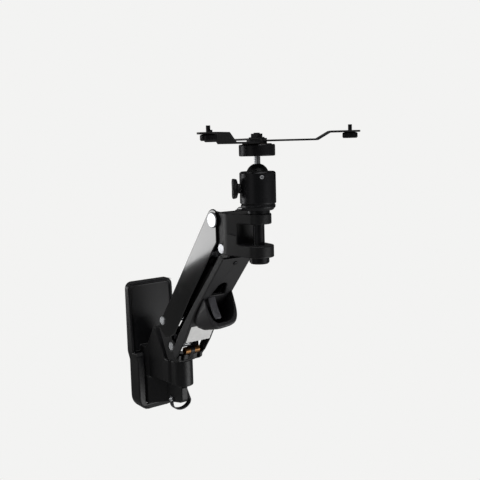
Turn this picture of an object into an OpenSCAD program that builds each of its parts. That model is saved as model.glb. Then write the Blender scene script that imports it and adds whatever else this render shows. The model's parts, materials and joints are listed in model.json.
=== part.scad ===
// Wall mount for a small device: swivel bracket, spring arm, ball head and three-arm adapter.
// The origin is the centre of the wall plate's back face, with +Y into the wall and +Z up.

/* [Wall plate and cover] */
// Width of the moulded cover
cover_w = 66; // [60:1:90]
// Height of the moulded cover
cover_h = 172; // [160:1:190]
// How far the cover's middle lies below the plate's centre
cover_drop = 2; // [0:0.5:4]
// Width of the cover's lower block
cover_low_w = 60.6; // [56:0.2:66]
// Depth of the cover at its upper edge
cover_depth_top = 10; // [8:0.5:13]
// Depth of the cover where the ledge stands
cover_depth_ledge = 15; // [13:0.5:18]
// Depth of the lower block of the cover
cover_depth_low = 24; // [20:0.5:30]
// Wall of the moulded cover
cover_wall = 2.2; // [1.6:0.1:3]
// Radius of the upper corners
cover_r_top = 9; // [5:0.5:14]
// Radius of the lower corners
cover_r_low = 20; // [12:0.5:22]
// Height of the ledge above the plate's centre
ledge_z = -8; // [-14:1:0]
// Width of the rim round the recessed upper face
rim_w = 4; // [3:0.5:6]
// Depth of the recessed upper face
recess_depth = 1.6; // [1:0.1:2.5]
// Thickness of the steel wall plate
plate_t = 2.5; // [2:0.1:4]
// Gap between the steel plate's edge and the cover's wall
plate_gap = 1; // [0.5:0.1:2]
// Distance across between the wall screw holes
screw_span_x = 40; // [30:1:44]
// Distance up between the wall screw holes
screw_span_z = 124; // [110:1:130]
// Diameter of the wall screw holes
screw_hole_d = 5.5; // [4:0.1:6]

/* [Swivel bracket] */
// Distance from the wall to the swivel axis
swivel_reach = 85; // [80:1:100]
// Outer diameter of the swivel barrel
barrel_d = 24.6; // [23:0.2:28]
// Height of the barrel's upper face above the plate's centre
barrel_top = -6; // [-8:0.5:-4]
// Height of the barrel
barrel_h = 33; // [28:1:40]
// Width of the casting where it leaves the cover
bracket_root_w = 40; // [34:1:44]
// Depth of the bolts in the casting
bolt_depth = 12; // [8:1:16]
// Height of the casting where it sits on the wall plate
flange_h = 76; // [68:1:78]
// Height of the fin's peak above the plate's centre
fin_z = 30; // [24:1:34]
// Distance of the fin's peak from the wall
fin_reach = 42; // [38:1:46]
// Depth of the casting below the barrel's lower face
tab_drop = 25; // [22:1:28]
// Thickness of the tab below the barrel
tab_t = 9; // [6:0.5:12]
// Gap between the barrel and the tab
tab_gap = 2.6; // [1.5:0.1:4]
// Diameter of the swivel shaft
shaft_d = 12; // [10:0.5:14]
// Diameter of the hexagonal nut's flats
nut_af = 17; // [15:0.5:19]
// Thickness of the plastic swivel washer
washer_t = 1; // [0.6:0.1:1.5]
// Wall of the plastic bushes
bush_t = 1.6; // [1:0.1:2]

/* [Cable strap] */
// Width of the strap's band
strap_w = 8; // [6:0.5:9]
// Thickness of the strap's band
strap_t = 1.6; // [1.2:0.1:2]
// Outer width of the loop
strap_loop_w = 28; // [25:1:32]
// Diameter of the strap's screw
strap_screw_d = 3; // [2.5:0.1:3.5]

/* [Spring arm] */
// Distance between the pins of one link
link_l = 177; // [165:1:195]
// Angle of the links above level
lift = 48.7; // [46:0.1:50]
// Distance of the arm's upper base pin in front of the wall
pin_reach = 73.5; // [72:0.5:75]
// Height of the arm's upper base pin above the plate's centre
pin_height = 43.5; // [42:0.5:46]
// How far the lower pin lies in front of the upper one
pin_step_y = 13; // [12:0.5:14.5]
// How far the lower pin lies below the upper one
pin_step_z = 30.2; // [29.5:0.1:31.5]
// Diameter of the link pins
pin_d = 8; // [6:0.5:9]
// Outer width of the arm
arm_w = 40; // [38:0.5:44]
// Wall of the arm's casting
shell_t = 2; // [1.6:0.1:2.4]
// Depth of the upper link below its pin line, near the head
upper_depth = 21; // [19:0.5:22]
// Radius of the upper link's round head end
upper_end_r = 12; // [11:0.5:13]
// Distance of the upper link's upright edge in front of the upper head pin
upper_front = 6.2; // [5.5:0.1:8]
// Height of the upper link's back above its pin line, near the base
upper_back_low = 4.6; // [4:0.1:6]
// Thickness of the fork cheeks on the yoke and the head
cheek_t = 4; // [3:0.5:4.5]
// Thickness of the lower link's side walls
rail_t = 3; // [2:0.5:3.5]
// Side gap between neighbouring layers of the arm
layer_gap = 0.4; // [0.3:0.05:0.6]
// Radius of the fork cheeks round their pins
cheek_r = 9.5; // [8.5:0.5:10]
// Diameter of the caps of the base pins
cap_d = 10.5; // [9.5:0.5:12]
// Diameter of the large cap on the upper head pin
big_cap_d = 17; // [15:0.5:18]
// Height of the domed pin caps
cap_t = 1.6; // [1:0.1:2]

/* [Lower cover] */
// Depth of the lower cover's upper edge below the lower pin line
cover_edge = 2.5; // [2:0.5:4]
// Depth of the lower cover's underside below the lower pin line
cover_under = 11; // [10:0.5:13]
// Depth of the underside at the open base end
cover_flare = 18.5; // [16:0.5:19]
// Distance of the open end's edge from the lower base pin
open_end = 30; // [28:1:34]
// Distance of the cover's upper end from the lower head pin
cover_end_gap = 6; // [5:0.5:10]
// Diameter of the screws that hold the cover to the lower link
cover_screw_d = 3; // [2.5:0.1:3.5]
// Height of the cable hood below the underside
hood_h = 34; // [29:1:38]
// Width of the cable hood
hood_w = 34; // [30:1:37]
// Length of the cable hood along the link
hood_l = 47; // [42:1:52]
// How far the hood's lip stays behind its feet
hood_lean = 16; // [12:1:19]
// Wall of the cable hood
hood_t = 2; // [1.6:0.1:2.4]
// Length of the blank label
label_l = 26; // [20:1:30]

/* [Gas spring] */
// Distance of the spring's trunnion from the upper base pin
trunnion_r = 16; // [15:0.5:17]
// Angle of the arm at which the trunnion lies square below the pin
trunnion_angle = 18.2; // [16:0.1:20]
// Depth of the spring's axis below the upper link's pin line
spring_depth = 14.6; // [14:0.1:15]
// Outer diameter of the cylinder
cylinder_d = 15; // [13:0.5:16]
// Diameter of the piston rod
rod_d = 6; // [5:0.5:7]
// Distance of the cylinder's open end from the upper base pin
cylinder_start = 50; // [46:1:54]
// Distance of the cylinder's fixed eye from the upper head pin
cylinder_eye_gap = 41; // [39:1:47]
// Diameter of the trunnion pin
trunnion_d = 5; // [4:0.5:5.5]
// Outer diameter of the spring's end eyes
eye_d = 13; // [12:0.5:14]

/* [Head bracket] */
// Distance of the head's swivel axis in front of the upper head pin
head_reach = 55.6; // [52:0.2:60]
// Height of the head's upper face above the upper head pin
head_top = 9.2; // [8.5:0.1:10]
// Height of the C-shaped head bracket
head_h = 45.5; // [44:0.5:48]
// Thickness of the head's lower ear
ear_low_t = 12.5; // [11:0.5:14]
// Thickness of the head's upper ear
ear_up_t = 10.8; // [9:0.1:12]
// Diameter of the lower ear
ear_low_d = 31; // [28:0.5:33]
// Diameter of the upper ear
ear_up_d = 27; // [25:0.5:29]
// Distance of the head's block from the upper head pin
head_block_gap = 17.6; // [17:0.1:18.5]
// Distance of the slot's back wall from the swivel axis
ear_reach = 15; // [14:0.5:18]
// Diameter of the ball head's post
post_d = 12; // [10:0.5:13]
// Diameter of the cap under the lower ear
post_cap_d = 21; // [19:0.5:23]
// Height of the cap under the lower ear
post_cap_h = 7; // [5:0.5:8]

/* [Ball head] */
// Diameter of the ball housing
housing_d = 37.6; // [34:0.2:40]
// Height of the ball housing
housing_h = 40; // [38:0.5:44]
// Gap between the head bracket and the ball housing
housing_gap = 3.5; // [2:0.5:4]
// Radius of the ball
ball_r = 11.7; // [11:0.1:12.5]
// Height of the ball's centre below the housing's upper face
ball_sink = 3.5; // [3:0.1:4]
// Gap between the ball and its socket
ball_gap = 0.1; // [0.05:0.01:0.3]
// Diameter of the neck between the ball and the platform
neck_d = 6.4; // [6:0.1:8]
// Height of the platform's lower face above the housing
neck_h = 15.6; // [14:0.2:20]
// Diameter of the platform
platform_d = 37.4; // [34:0.2:42]
// Height of the platform
platform_h = 11.9; // [9:0.1:13]
// Width of the notch that lets the neck lie level
notch_w = 8; // [7.5:0.1:10]
// Direction of the notch, from straight ahead towards the right
notch_angle = 40; // [20:1:60]
// Direction of the lock knob, from the left towards the wall
knob_angle = 18; // [0:1:40]
// Height of the lock knob's wings
knob_span = 21; // [18:0.5:24]
// Thickness of the lock knob's wings
knob_wing_t = 5.6; // [4:0.1:7]
// Direction of the set screw, from the right round the front
set_screw_angle = 114; // [100:1:130]

/* [Adapter] */
// Turn of the adapter's arms on the hub, seen from above
adapter_turn = 5; // [-15:1:15]
// Thickness of the adapter's sheet arms
arm_t = 1.8; // [1.5:0.1:2.5]
// Width of the sheet arms
strip_w = 21; // [18:0.5:24]
// Distance from the hub to each thumb screw
screw_r = 96; // [88:1:110]
// Distance from the hub where the arms start to rise
kink_in = 62; // [56:1:70]
// Distance over which the arms rise
kink_run = 13; // [10:1:16]
// Height of the arms' outer flats above the lowest hub face
flat_rise = 9.2; // [8:0.1:11]
// Diameter of the hub stud
hub_stud_d = 6.35; // [6:0.05:8]
// Width across the flats of the hub nut
hub_nut_af = 11.1; // [10:0.1:13]
// Diameter of the knurled thumb screws
thumb_d = 15.5; // [12:0.5:18]
// Height of the knurled thumb screws
thumb_h = 6; // [4:0.5:6.5]
// Diameter of the studs that hold the device
stud_d = 4; // [3:0.5:5]
// Height of the studs above the arms' outer flats
stud_rise = 6; // [4:0.5:10]

/* [Hidden] */

$fn = 64;
eps = 0.01;
run_gap = 0.05;
// Reach of the plain bodies that only cut
cut = 2 * arm_w;

black = "#17171a";
satin = "#222226";
steel = "#b9bcc0";
chrome = "#d4d6d9";
nylon = "#33343a";
brass = "#b98a5a";

// Layers of the arm, as half widths from its middle plane
shell_in = arm_w / 2 - shell_t;
cheek_out = shell_in - layer_gap;
cheek_in = cheek_out - cheek_t;
rail_out = cheek_in - layer_gap;
rail_in = rail_out - rail_t;

// Pins of the arm, as [y, z]
base_upper = [-pin_reach, pin_height];
base_lower = base_upper + [-pin_step_y, -pin_step_z];
head_upper = on_link(base_upper, link_l, 0);
head_lower = on_link(base_lower, link_l, 0);
trunnion = base_upper - trunnion_r * [sin(trunnion_angle), cos(trunnion_angle)];
// The same trunnion along the upper link and square to it
trunnion_s = -trunnion_r * sin(lift - trunnion_angle);

// Upper and lower edge of the cover
cover_top = cover_h / 2 - cover_drop;
cover_low = -cover_h / 2 - cover_drop;
cover_step = 12;

// Swivel barrel and yoke
axis_y = -swivel_reach;
barrel_bottom = barrel_top - barrel_h;
yoke_floor = barrel_top + washer_t;
yoke_floor_t = 7;
floor_front = axis_y - barrel_d * 0.53;
floor_back = axis_y + barrel_d * 0.285;
tab_bottom = barrel_bottom - tab_drop;
bolt_d = 5;
bolt_head_d = 9;
bolt_x = bracket_root_w / 2 - 7;
bolt_mid = barrel_top - flange_h / 2 + 6;
bolt_dz = flange_h / 2 - 9;
nut_t = 6;
// The nut hides in a pocket of the barrel's lower face
nut_pocket = nut_t + 1.5;
nut_pocket_d = nut_af + 4;
shaft_end = barrel_bottom + 0.5;
bush_flange_t = 1;
tab_front = axis_y - 2;
tab_r = 7;
tab_x = tab_t / 2;
tab_screw = [axis_y + barrel_d * 0.9, tab_bottom + 0.5];
adjuster_at = base_lower + [-19, -3.3];
adjuster_d = 9;
lug_w = 6;
adjuster_w = 2 * (rail_in - layer_gap);

// Rails of the lower link, above and below its pin line
flare_run = 50;
rail_up = 4;
rail_down = cover_under - shell_t;
rail_end_r = 8;
eye_w = 8;
head_cap_d = cap_d + 1.5;
label_t = 0.25;
gas_pin_l = 2 * shell_in + shell_t;
cover_end = link_l - cover_end_gap;
cylinder_eye = link_l - cylinder_eye_gap;
hood_tail = open_end + flare_run - 18;
hood_foot = hood_tail + hood_l;
hood_lip = hood_foot - hood_lean;
cover_screw_at = [open_end + flare_run + 8, cover_end - 8];
slot_run = 20;
slot_r = 6;
upper_lug_r = 7.5;

// Ball head and adapter
head_y = head_upper[0] - head_reach;
head_back = head_upper[0] - head_block_gap;
head_z = head_upper[1] + head_top;
ear_low_z = head_z - head_h;
gap_low = ear_low_z + ear_low_t;
gap_up = head_z - ear_up_t;
housing_z = head_z + housing_gap;
housing_top = housing_z + housing_h;
ball_z = housing_top - ball_sink;
// The seat under the ball, and the knob that presses on it
seat_h = 9;
seat_z = ball_z - ball_r - 6.8;
knob_z = seat_z + 5;
bore_z = seat_z - 6;
set_screw_z = ball_z - 2;
set_screw_d = 4;
post_in = 6;
neck_in = 8;
pad_t = 0.9;
platform_z = housing_top + neck_h;
hub_z = platform_z + platform_h + pad_t;
flat_z = hub_z + flat_rise;
hub_nut_t = 4.5;
shoulder_d = stud_d + 1;
arm_angles = [for (a = [-150, -30, 90]) a - adapter_turn];
grips = 18;

// Point of the arm's plane, s along a link from its base pin p and n square to it, downwards
function on_link(p, s, n) = p + [-s * cos(lift) - n * sin(lift), s * sin(lift) - n * cos(lift)];

// Draws children in a link's plane: x along it from its base pin, y square to it, upwards
module link_frame(p) {
    translate([0, p[0], p[1]]) rotate([-lift, 0, 0]) rotate([90, 0, -90]) children();
}

// Extrudes a y-z outline along x, from the middle plane to both sides
module across(w) {
    rotate([90, 0, 90]) linear_extrude(w, center = true) children();
}

// Two mirrored plates drawn from a y-z outline, between two half widths
module cheeks(inner, outer) {
    for (side = [-1, 1])
        translate([side * (inner + outer) / 2, 0, 0]) across(outer - inner) children();
}

// Cylinder along x through a point of the y-z plane
module cross_pin(p, d, w) {
    translate([0, p[0], p[1]]) rotate([0, 90, 0]) cylinder(d = d, h = w, center = true);
}

// Low domed cap whose flat face lies at x = w, facing outwards
module pin_cap(p, d, w, t) {
    translate([w, p[0], p[1]]) rotate([0, 90, 0]) rotate_extrude()
        polygon([[0, 0], [d / 2, 0], [d / 2, t * 0.45], [d / 2 - t * 0.6, t], [0, t]]);
}

// Hexagonal prism standing on its lower face
module hexagon(af, h) {
    cylinder(d = af / cos(30), h = h, $fn = 6);
}

// Outline of the wall cover, seen from the front, between two heights and shrunk sideways by a margin
module cover_outline(margin, top, low) {
    side = cover_w / 2 - margin;
    side_low = cover_low_w / 2 - margin;
    rt = cover_r_top - margin / 2;
    rl = cover_r_low - margin / 2;
    z_low = ledge_z - cover_step;
    polygon([[-side, ledge_z + eps], [-side_low, z_low - eps], [side_low, z_low - eps], [side, ledge_z + eps]]);
    hull() {
        translate([-side, ledge_z]) square([2 * side, 1]);
        for (m = [-1, 1]) translate([m * (side - rt), top - rt]) circle(rt);
    }
    hull() {
        translate([-side_low, z_low - 1]) square([2 * side_low, 1]);
        for (m = [-1, 1]) translate([m * (side_low - rl), low + rl]) circle(rl);
    }
}

// Side outline of the wall cover, as depth from the wall against height, shrunk by a wall
module cover_side(wall) {
    top = cover_top - wall;
    low = cover_low + wall;
    round_in = 8;
    polygon([
        [1, low], [1, top], [-cover_depth_top + wall + 2, top], [-cover_depth_top + wall, top - 2],
        [-cover_depth_ledge + wall, ledge_z + wall], [-cover_depth_low + wall + 3, ledge_z - wall],
        [-cover_depth_low + wall, ledge_z - 4 - wall], [-cover_depth_low + wall, low + round_in],
        [-cover_depth_low + wall + round_in, low]
    ]);
}

module wall_plate() {
    inset = cover_wall + plate_gap;
    color(steel) difference() {
        rotate([90, 0, 0]) linear_extrude(plate_t)
            cover_outline(inset, cover_top - inset, inset - cover_top);
        for (x = [-1, 1], z = [-1, 1])
            translate([x * screw_span_x / 2, 0, z * screw_span_z / 2])
                rotate([90, 0, 0]) cylinder(d = screw_hole_d, h = 3 * plate_t, center = true);
        for (x = [-1, 1], z = [-1, 1])
            translate([x * bolt_x, 0, bolt_mid + z * bolt_dz])
                rotate([90, 0, 0]) {
                    cylinder(d = bolt_d + 4 * run_gap, h = 3 * plate_t, center = true);
                    cylinder(d1 = bolt_head_d + 4 * run_gap, d2 = bolt_d + 4 * run_gap, h = plate_t - 0.2);
                }
    }
}
module wall_cover() {
    color(black) difference() {
        intersection() {
            rotate([90, 0, 0]) linear_extrude(cover_depth_low) cover_outline(0, cover_top, cover_low);
            across(cover_w + 2) cover_side(0);
        }
        intersection() {
            translate([0, 1, 0]) rotate([90, 0, 0]) linear_extrude(cover_depth_low)
                cover_outline(cover_wall, cover_top - cover_wall, cover_low + cover_wall);
            across(cover_w) cover_side(cover_wall);
        }
        face_recess();
        bracket_window();
    }
}

// Shallow pocket in the cover's upper face, inside its rim
module face_recess() {
    lean = atan((cover_depth_ledge - cover_depth_top) / (cover_top - 2 - ledge_z));
    width = cover_w - 2 * rim_w;
    height = cover_top - rim_w - ledge_z - 2;
    corner = cover_r_top - rim_w + 1;
    translate([0, -cover_depth_ledge, ledge_z + 2]) rotate([-lean, 0, 0])
        translate([0, recess_depth, 0]) rotate([90, 0, 0]) linear_extrude(5 * recess_depth) {
            translate([-width / 2, 0]) square([width, height - corner]);
            translate([corner - width / 2, 0]) square([width - 2 * corner, height]);
            for (m = [-1, 1]) translate([m * (width / 2 - corner), height - corner]) circle(corner);
        }
}

// Hole in the cover's lower block, where the casting comes through
module bracket_window() {
    w = bracket_root_w + 1;
    translate([-w / 2, -cover_depth_low - 1, bolt_mid - flange_h / 2 - 0.5])
        cube([w, cover_depth_low, flange_h + 1]);
}

// Side outline of the swivel casting in front of the wall plate
module bracket_side() {
    root_top = bolt_mid + flange_h / 2;
    root_low = bolt_mid - flange_h / 2;
    polygon(concat([
        [-plate_t, root_low], [-plate_t, root_top], [-cover_depth_low, root_top],
        [-fin_reach + 2, fin_z - 1], [-fin_reach, fin_z], [-fin_reach - 2, fin_z - 3],
        [axis_y + 23, barrel_top - 3], [axis_y, barrel_top - 3], [axis_y, barrel_bottom],
        [tab_screw[0] + 1, barrel_bottom], [tab_screw[0] + 2, barrel_bottom - tab_gap / 2],
        [tab_screw[0] + 1, barrel_bottom - tab_gap], [tab_front + 1.5, barrel_bottom - tab_gap],
        [tab_front, barrel_bottom - tab_gap - 1.5]
    ], [for (a = [0:15:90]) [tab_front + tab_r * (1 - cos(a)), tab_bottom + tab_r * (1 - sin(a))]],
    [[-cover_depth_low, root_low]]));
}

// Plan outline of the casting, flaring from the barrel to the cover
module bracket_plan(z0, h) {
    root = bracket_root_w / 2;
    wide = barrel_d / 2 + 1;
    neck = barrel_d / 2 - 2;
    translate([0, 0, z0]) linear_extrude(h) polygon([
        [-root, 0], [-root, -cover_depth_low + 2], [-root + 3, -cover_depth_low - 5],
        [-wide, axis_y + 28], [-wide + 0.6, axis_y + 15], [-neck, axis_y + 12], [-neck, axis_y],
        [neck, axis_y], [neck, axis_y + 12], [wide - 0.6, axis_y + 15], [wide, axis_y + 28],
        [root - 3, -cover_depth_low - 5], [root, -cover_depth_low + 2], [root, 0]
    ]);
}

module swivel_bracket() {
    color(satin) difference() {
        union() {
            intersection() {
                across(bracket_root_w + 2) bracket_side();
                union() {
                    bracket_plan(barrel_bottom, fin_z - barrel_bottom + 10);
                    lower_plan();
                }
            }
            translate([0, axis_y, barrel_bottom]) cylinder(d = barrel_d, h = barrel_h);
        }
        translate([0, axis_y, barrel_bottom - 1]) cylinder(d = shaft_d + 2 * bush_t, h = barrel_h + 2);
        translate([0, axis_y, barrel_bottom - 1]) cylinder(d = nut_pocket_d, h = nut_pocket + 1);
        for (z = [barrel_bottom + nut_pocket - eps, barrel_top - bush_flange_t])
            translate([0, axis_y, z]) cylinder(d = shaft_d + 2 * bush_t + 4, h = bush_flange_t + eps);
        for (x = [-1, 1], z = [-1, 1])
            translate([x * bolt_x, 0, bolt_mid + z * bolt_dz])
                rotate([90, 0, 0]) cylinder(d = bolt_d + 2 * run_gap, h = plate_t + bolt_depth + 1);
        translate([-tab_x, tab_screw[0], tab_screw[1]])
            rotate([0, 90, 0]) cylinder(d = strap_screw_d, h = 14, center = true);
    }
}

// Plan of the part below the barrel: full width at the wall, a tab at the front
module lower_plan() {
    root = bracket_root_w / 2;
    wide = -cover_depth_low - 4;
    thin = tab_screw[0] + 12;
    translate([0, 0, tab_bottom - cut]) linear_extrude(barrel_bottom - tab_bottom + cut + eps) polygon([
        [-root, 0], [-root, wide], [-tab_x, thin], [-tab_x, tab_front], [tab_x, tab_front], [tab_x, thin],
        [root, wide], [root, 0]
    ]);
}

module bracket_bolts() {
    color(steel) for (x = [-1, 1], z = [-1, 1])
        translate([x * bolt_x, 0, bolt_mid + z * bolt_dz]) rotate([90, 0, 0]) {
            cylinder(d = bolt_d, h = plate_t + bolt_depth);
            cylinder(d1 = bolt_head_d, d2 = bolt_d, h = plate_t - 0.2);
        }
}

// Flanged plastic bush, standing on its flange
module flanged_bush(h) {
    difference() {
        union() {
            cylinder(d = shaft_d + 2 * bush_t - 2 * run_gap, h = h);
            cylinder(d = shaft_d + 2 * bush_t + 3.8, h = bush_flange_t);
        }
        translate([0, 0, -1]) cylinder(d = shaft_d + 2 * run_gap, h = h + 2);
    }
}

module upper_bush() {
    color(nylon) translate([0, axis_y, barrel_top]) mirror([0, 0, 1]) flanged_bush(barrel_h / 2 - 2);
}

module lower_bush() {
    color(nylon) translate([0, axis_y, barrel_bottom + nut_pocket]) flanged_bush(barrel_h / 2 - nut_pocket);
}

// Band of the cable strap, seen from the front: a pad, a round loop and a free end
module strap_outline() {
    r = strap_loop_w / 2;
    hang = 3.2;
    mid = [r - tab_x - strap_t, tab_screw[1] - 2 - hang];
    pad_x = -tab_x - strap_t;
    free = [mid[0] + r - 9, barrel_bottom - 2];
    arc = [for (a = [180:10:360]) [cos(a), sin(a)]];
    back = [for (i = [len(arc) - 1:-1:0]) mid + [(r - strap_t) * arc[i][0], (r - hang - strap_t) * arc[i][1]]];
    polygon(concat(
        [[-tab_x, tab_screw[1] + 4], [pad_x, tab_screw[1] + 4]],
        [for (p = arc) mid + [r * p[0], (r - hang) * p[1]]], [free, free - [strap_t, 0]], back
    ));
}

module cable_strap() {
    color(nylon) difference() {
        translate([0, tab_screw[0] + strap_w / 2, 0]) rotate([90, 0, 0])
            linear_extrude(strap_w) strap_outline();
        translate([-tab_x, tab_screw[0], tab_screw[1]])
            rotate([0, 90, 0]) cylinder(d = strap_screw_d + 0.4, h = 4 * strap_t, center = true);
    }
}

module strap_screw() {
    r = strap_screw_d;
    color(chrome) translate([-tab_x - strap_t, tab_screw[0], tab_screw[1]]) rotate([0, -90, 0]) {
        rotate_extrude() polygon([[0, 0], [r, 0], [r * 0.87, r * 0.4], [r * 0.53, r * 0.6], [0, r * 0.67]]);
        translate([0, 0, -strap_t - 5]) cylinder(d = r - 2 * run_gap, h = strap_t + 5 + eps);
    }
}

// Side outline of the yoke's cheeks
module yoke_side() {
    polygon([
        base_upper + [-2, cheek_r - 0.2], base_upper + cheek_r * [1.42, -1.26],
        [floor_back, yoke_floor], [floor_front, yoke_floor], [floor_front - 5, yoke_floor + 3],
        [floor_front - 6.6, yoke_floor + 9.5], base_lower + [-cheek_r + 0.3, -2]
    ]);
    for (p = [base_upper, base_lower]) translate(p) circle(p == base_upper ? upper_lug_r : cheek_r);
}

module base_yoke() {
    floor_t = yoke_floor_t - 2;
    color(satin) difference() {
        union() {
            cheeks(cheek_in, cheek_out) yoke_side();
            translate([-cheek_in - eps, floor_front, yoke_floor])
                cube([2 * (cheek_in + eps), floor_back - floor_front, floor_t]);
            translate([0, axis_y, yoke_floor]) cylinder(d = barrel_d, h = floor_t);
            across(adjuster_w) polygon([
                [floor_front + 1, yoke_floor], [floor_front - 5, yoke_floor + 3],
                [floor_front - 6.6, yoke_floor + 9.5], [floor_front - 3, yoke_floor + 9],
                [floor_front + 1, yoke_floor + floor_t]
            ]);
            across(lug_w) {
                translate(adjuster_at) circle(adjuster_d / 2 + 0.5);
                polygon([
                    adjuster_at - [adjuster_d / 2, 0], adjuster_at + [adjuster_d / 2, 0],
                    [floor_front - 1, yoke_floor + floor_t], [floor_front - 5, yoke_floor + 3]
                ]);
            }
        }
        cross_pin(base_upper, pin_d, arm_w);
        cross_pin(base_lower, pin_d, arm_w);
        for (side = [-1, 1]) translate([side * (cheek_out + layer_gap / 2 - cap_t + arm_w / 2), 0, 0])
            cross_pin(base_lower, cap_d + 2 * run_gap, arm_w);
        cross_pin(trunnion, trunnion_d, arm_w);
        cross_pin(adjuster_at, adjuster_d - 3 + 2 * run_gap, arm_w);
        translate([0, axis_y, yoke_floor - 1]) cylinder(d = shaft_d - 2, h = yoke_floor_t + 2);
    }
}

module swivel_shaft() {
    color(steel) translate([0, axis_y, 0]) {
        translate([0, 0, shaft_end]) cylinder(d = shaft_d, h = yoke_floor - shaft_end);
        translate([0, 0, yoke_floor - eps]) cylinder(d = shaft_d - 2, h = yoke_floor_t + eps);
        translate([0, 0, yoke_floor + yoke_floor_t - 2]) cylinder(d = shaft_d + 1, h = 2);
    }
}

module swivel_washer() {
    color(nylon) translate([0, axis_y, barrel_top + run_gap]) difference() {
        cylinder(d = barrel_d - 1, h = washer_t - run_gap);
        translate([0, 0, -1]) cylinder(d = shaft_d + 2 * run_gap, h = washer_t + 2);
    }
}

module swivel_nut() {
    rim = 1.5;
    color(steel) translate([0, axis_y, barrel_bottom + nut_pocket - run_gap - nut_t]) difference() {
        union() {
            hexagon(nut_af, nut_t - rim);
            translate([0, 0, nut_t - rim]) cylinder(d = nut_af + 2, h = rim);
        }
        translate([0, 0, -1]) cylinder(d = shaft_d, h = nut_t + 2);
    }
}

// Link pin with a domed cap at each end
module link_pin(p, w, d) {
    cross_pin(p, pin_d, 2 * w + eps);
    for (side = [0, 1]) mirror([side, 0, 0]) pin_cap(p, d, w, cap_t);
}

module base_upper_pin() {
    color(chrome) link_pin(base_upper, arm_w / 2 + run_gap, cap_d);
}

// Its heads are let into the cheeks, so that the upper link's walls pass over them
module base_lower_pin() {
    color(chrome) link_pin(base_lower, cheek_out + layer_gap / 2 - cap_t, cap_d);
}

module trunnion_pin() {
    color(steel) cross_pin(trunnion, trunnion_d, 2 * cheek_out);
}

module adjuster_screw() {
    side_w = (adjuster_w - lug_w) / 2 - run_gap;
    color(brass) difference() {
        union() {
            cross_pin(adjuster_at, adjuster_d - 3, adjuster_w - 1);
            for (side = [-1, 1]) translate([side * (adjuster_w - side_w) / 2, 0, 0])
                cross_pin(adjuster_at, adjuster_d, side_w);
        }
        translate([-adjuster_w / 2 - 1, adjuster_at[0], adjuster_at[1]])
            rotate([0, 90, 0]) cylinder(d = 4 / cos(30), h = 5, $fn = 6);
    }
}

// Side outline of the upper link in its own plane, grown by a margin towards the back
module upper_outline(margin) {
    intersection() {
        union() {
            polygon([
                [link_l, upper_end_r - margin], [link_l - 8, upper_end_r - 0.3 - margin],
                [20, upper_back_low - margin + 0.1], [-8, upper_back_low - 1], [-13, 0], [-12, -16], [-2, -24],
                [9, -28], [47, -upper_depth - 4], [75, -upper_depth - 2], [link_l - 27, -upper_depth],
                [link_l - 10, -upper_depth + 0.5], [link_l + 8, -upper_end_r / 3]
            ]);
            translate([link_l, 0]) circle(upper_end_r - margin);
        }
        translate([link_l, 0]) rotate(-lift) translate([upper_front - 2 * link_l, -link_l]) square(2 * link_l);
    }
}

module upper_link() {
    base_open = 15;
    head_open = 6;
    color(black) link_frame(base_upper) difference() {
        linear_extrude(arm_w, center = true) upper_outline(0);
        linear_extrude(2 * shell_in, center = true) {
            upper_outline(shell_t);
            translate([-cut, -cut]) square([link_l + 2 * cut, cut - upper_end_r]);
            translate([-cut, -base_open]) square([cut + base_open, cut]);
            translate([link_l - head_open, -cut]) square([cut, 2 * cut]);
            translate([-base_open, -cut]) square([link_l + base_open, cut - shell_t]);
        }
        for (s = [0, link_l]) translate([s, 0]) cylinder(d = pin_d + 2 * run_gap, h = arm_w + 2, center = true);
        translate([cylinder_eye, -spring_depth]) cylinder(d = rod_d, h = gas_pin_l, center = true);
    }
}

module gas_cylinder() {
    neck = cylinder_eye - 16;
    bore = cylinder_d - 2.4;
    color(satin) link_frame(base_upper) translate([0, -spring_depth, 0]) difference() {
        union() {
            rotate([0, 90, 0]) {
                translate([0, 0, cylinder_start]) cylinder(d = cylinder_d, h = neck - cylinder_start);
                translate([0, 0, neck - 1]) cylinder(d = rod_d + 1, h = cylinder_eye - neck);
            }
            translate([cylinder_eye, 0]) cylinder(d = eye_d, h = eye_w, center = true);
        }
        rotate([0, 90, 0]) translate([0, 0, cylinder_start + 6])
            cylinder(d = bore, h = neck - cylinder_start - 12);
        rotate([0, 90, 0]) translate([0, 0, cylinder_start - 1]) cylinder(d = rod_d + 2 * run_gap, h = 10);
        translate([cylinder_eye, 0]) cylinder(d = rod_d, h = 2 * eye_w, center = true);
    }
}

module gas_pin() {
    color(steel) link_frame(base_upper) translate([cylinder_eye, -spring_depth]) {
        cylinder(d = rod_d, h = gas_pin_l, center = true);
        for (side = [-1, 1]) translate([0, 0, side * (eye_w / 2 + 1)]) difference() {
            cylinder(d = rod_d + 4, h = 2, center = true);
            cylinder(d = rod_d - 1, h = 3, center = true);
        }
    }
}

module head_upper_pin() {
    color(chrome) link_pin(head_upper, arm_w / 2, big_cap_d);
}

module gas_rod() {
    piston = cylinder_start + 14;
    hole = trunnion_d + 3.4;
    color(chrome) link_frame(base_upper) translate([0, -spring_depth, 0]) difference() {
        union() {
            rotate([0, 90, 0]) {
                translate([0, 0, trunnion_s + 3]) cylinder(d = rod_d, h = piston - trunnion_s);
                translate([0, 0, piston]) cylinder(d = cylinder_d - 2.4 - 4 * run_gap, h = 5);
            }
            translate([trunnion_s, 0]) cylinder(d = eye_d, h = eye_w, center = true);
        }
        translate([trunnion_s, 0]) cylinder(d = hole, h = 2 * eye_w, center = true);
    }
}

// Side outline of the lower link's rails in their own plane
module rail_outline() {
    translate([0, -rail_down]) square([link_l, rail_down + rail_up]);
    for (s = [0, link_l]) translate([s, 0]) circle(rail_end_r);
}

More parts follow.
